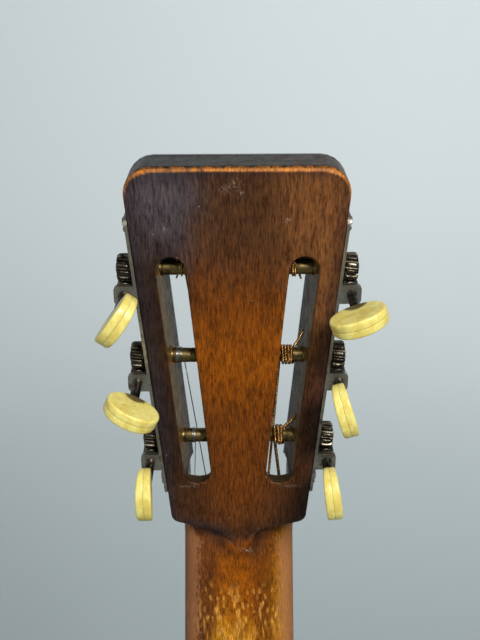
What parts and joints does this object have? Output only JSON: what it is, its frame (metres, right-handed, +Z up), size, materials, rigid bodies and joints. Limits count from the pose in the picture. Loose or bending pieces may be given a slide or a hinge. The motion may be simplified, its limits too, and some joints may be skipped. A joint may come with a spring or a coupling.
{
  "type": "slot-head guitar",
  "caption": "Small-bodied steel-string guitar with a slotted headstock, worm-gear tuners with ivory-coloured buttons and a flat-top body with a pin bridge.",
  "frame": {"origin": "on the tail end of the body, on the end pin's axis, where the pin's flange sits", "axes": "+Z up the neck, -Y out of the soundboard, +Y out of the back, -X the bass side"},
  "size_m": [0.3298, 0.108, 0.9443],
  "materials": {
    "spruce": "aged satin varnish",
    "body_wood": "worn gloss varnish",
    "inner_wood": "bare",
    "binding": "yellowed gloss",
    "rosette": "inlaid rings",
    "dark_wood": "oiled",
    "bone": "polished bone",
    "pin_plastic": "gloss black",
    "neck_wood": "dark stain, worn along its edges",
    "head_veneer": "black lacquer",
    "fret_metal": "polished nickel silver",
    "pearl": "pearl",
    "plate_metal": "tarnished nickel plate",
    "screw_metal": "tarnished nickel plate",
    "string_metal": "bronze winding and plain steel",
    "post_metal": "aged brass",
    "wheel_metal": "blackened with bright tooth tips",
    "worm_metal": "blackened",
    "button_plastic": "aged ivory-coloured plastic"
  },
  "bodies": {
    "guitar": {"soundboard": "spruce", "back_plate": "body_wood", "bass_side": "body_wood", "treble_side": "body_wood", "linings": "inner_wood", "soundboard_braces": "inner_wood", "back_braces": "inner_wood", "bridge_plate": "inner_wood", "centre_strip": "inner_wood", "neck_block": "inner_wood", "tail_block": "inner_wood", "bindings": "binding", "rosette": "rosette", "bridge": "dark_wood", "saddle": "bone", "bridge_pins": "pin_plastic", "end_pin": "pin_plastic", "neck": "neck_wood", "heel_cap": "binding", "head_veneer": "head_veneer", "nut": "bone", "fretboard": "dark_wood", "frets": "fret_metal", "position_dots": "pearl", "bass_tuner_plate": "plate_metal", "treble_tuner_plate": "plate_metal", "plate_screws": "screw_metal", "strings": "string_metal"},
    "worm_low_e": {"worm_low_e": "worm_metal", "button_low_e": "button_plastic"},
    "post_low_e": {"post_low_e": "post_metal", "wheel_low_e": "wheel_metal", "wheel_screw_low_e": "screw_metal"},
    "worm_a": {"worm_a": "worm_metal", "button_a": "button_plastic"},
    "post_a": {"post_a": "post_metal", "wheel_a": "wheel_metal", "wheel_screw_a": "screw_metal"},
    "worm_d": {"worm_d": "worm_metal", "button_d": "button_plastic"},
    "post_d": {"post_d": "post_metal", "wheel_d": "wheel_metal", "wheel_screw_d": "screw_metal"},
    "worm_g": {"worm_g": "worm_metal", "button_g": "button_plastic"},
    "post_g": {"post_g": "post_metal", "wheel_g": "wheel_metal", "wheel_screw_g": "screw_metal"},
    "worm_b": {"worm_b": "worm_metal", "button_b": "button_plastic"},
    "post_b": {"post_b": "post_metal", "wheel_b": "wheel_metal", "wheel_screw_b": "screw_metal"},
    "worm_high_e": {"worm_high_e": "worm_metal", "button_high_e": "button_plastic"},
    "post_high_e": {"post_high_e": "post_metal", "wheel_high_e": "wheel_metal", "wheel_screw_high_e": "screw_metal"}
  },
  "joints": [
    {"name": "button_turn_low_e", "type": "hinge", "parent": "guitar", "child": "worm_low_e", "pos_m": [-0.03397, -0.03179, 0.81564], "axis": [0, 0.9744, -0.225], "continuous": true},
    {"name": "post_turn_low_e", "type": "hinge", "parent": "guitar", "child": "post_low_e", "pos_m": [-0.03397, -0.03008, 0.82305], "axis": [1, 0, 0], "continuous": true},
    {"name": "button_turn_a", "type": "hinge", "parent": "guitar", "child": "worm_a", "pos_m": [-0.03703, -0.02392, 0.84974], "axis": [0, 0.9744, -0.225], "continuous": true},
    {"name": "post_turn_a", "type": "hinge", "parent": "guitar", "child": "post_a", "pos_m": [-0.03703, -0.02221, 0.85715], "axis": [1, 0, 0], "continuous": true},
    {"name": "button_turn_d", "type": "hinge", "parent": "guitar", "child": "worm_d", "pos_m": [-0.0401, -0.01605, 0.88385], "axis": [0, 0.9744, -0.225], "continuous": true},
    {"name": "post_turn_d", "type": "hinge", "parent": "guitar", "child": "post_d", "pos_m": [-0.0401, -0.01434, 0.89125], "axis": [1, 0, 0], "continuous": true},
    {"name": "button_turn_g", "type": "hinge", "parent": "guitar", "child": "worm_g", "pos_m": [0.0401, -0.01605, 0.88385], "axis": [0, 0.9744, -0.225], "continuous": true},
    {"name": "post_turn_g", "type": "hinge", "parent": "guitar", "child": "post_g", "pos_m": [0.0401, -0.01434, 0.89125], "axis": [1, 0, 0], "continuous": true},
    {"name": "button_turn_b", "type": "hinge", "parent": "guitar", "child": "worm_b", "pos_m": [0.03703, -0.02392, 0.84974], "axis": [0, 0.9744, -0.225], "continuous": true},
    {"name": "post_turn_b", "type": "hinge", "parent": "guitar", "child": "post_b", "pos_m": [0.03703, -0.02221, 0.85715], "axis": [1, 0, 0], "continuous": true},
    {"name": "button_turn_high_e", "type": "hinge", "parent": "guitar", "child": "worm_high_e", "pos_m": [0.03397, -0.03179, 0.81564], "axis": [0, 0.9744, -0.225], "continuous": true},
    {"name": "post_turn_high_e", "type": "hinge", "parent": "guitar", "child": "post_high_e", "pos_m": [0.03397, -0.03008, 0.82305], "axis": [1, 0, 0], "continuous": true}
  ],
  "couplings": [
    {"joint": "post_turn_low_e", "follows": "button_turn_low_e", "ratio": -0.083333},
    {"joint": "post_turn_a", "follows": "button_turn_a", "ratio": -0.083333},
    {"joint": "post_turn_d", "follows": "button_turn_d", "ratio": -0.083333},
    {"joint": "post_turn_g", "follows": "button_turn_g", "ratio": -0.083333},
    {"joint": "post_turn_b", "follows": "button_turn_b", "ratio": -0.083333},
    {"joint": "post_turn_high_e", "follows": "button_turn_high_e", "ratio": -0.083333}
  ]
}
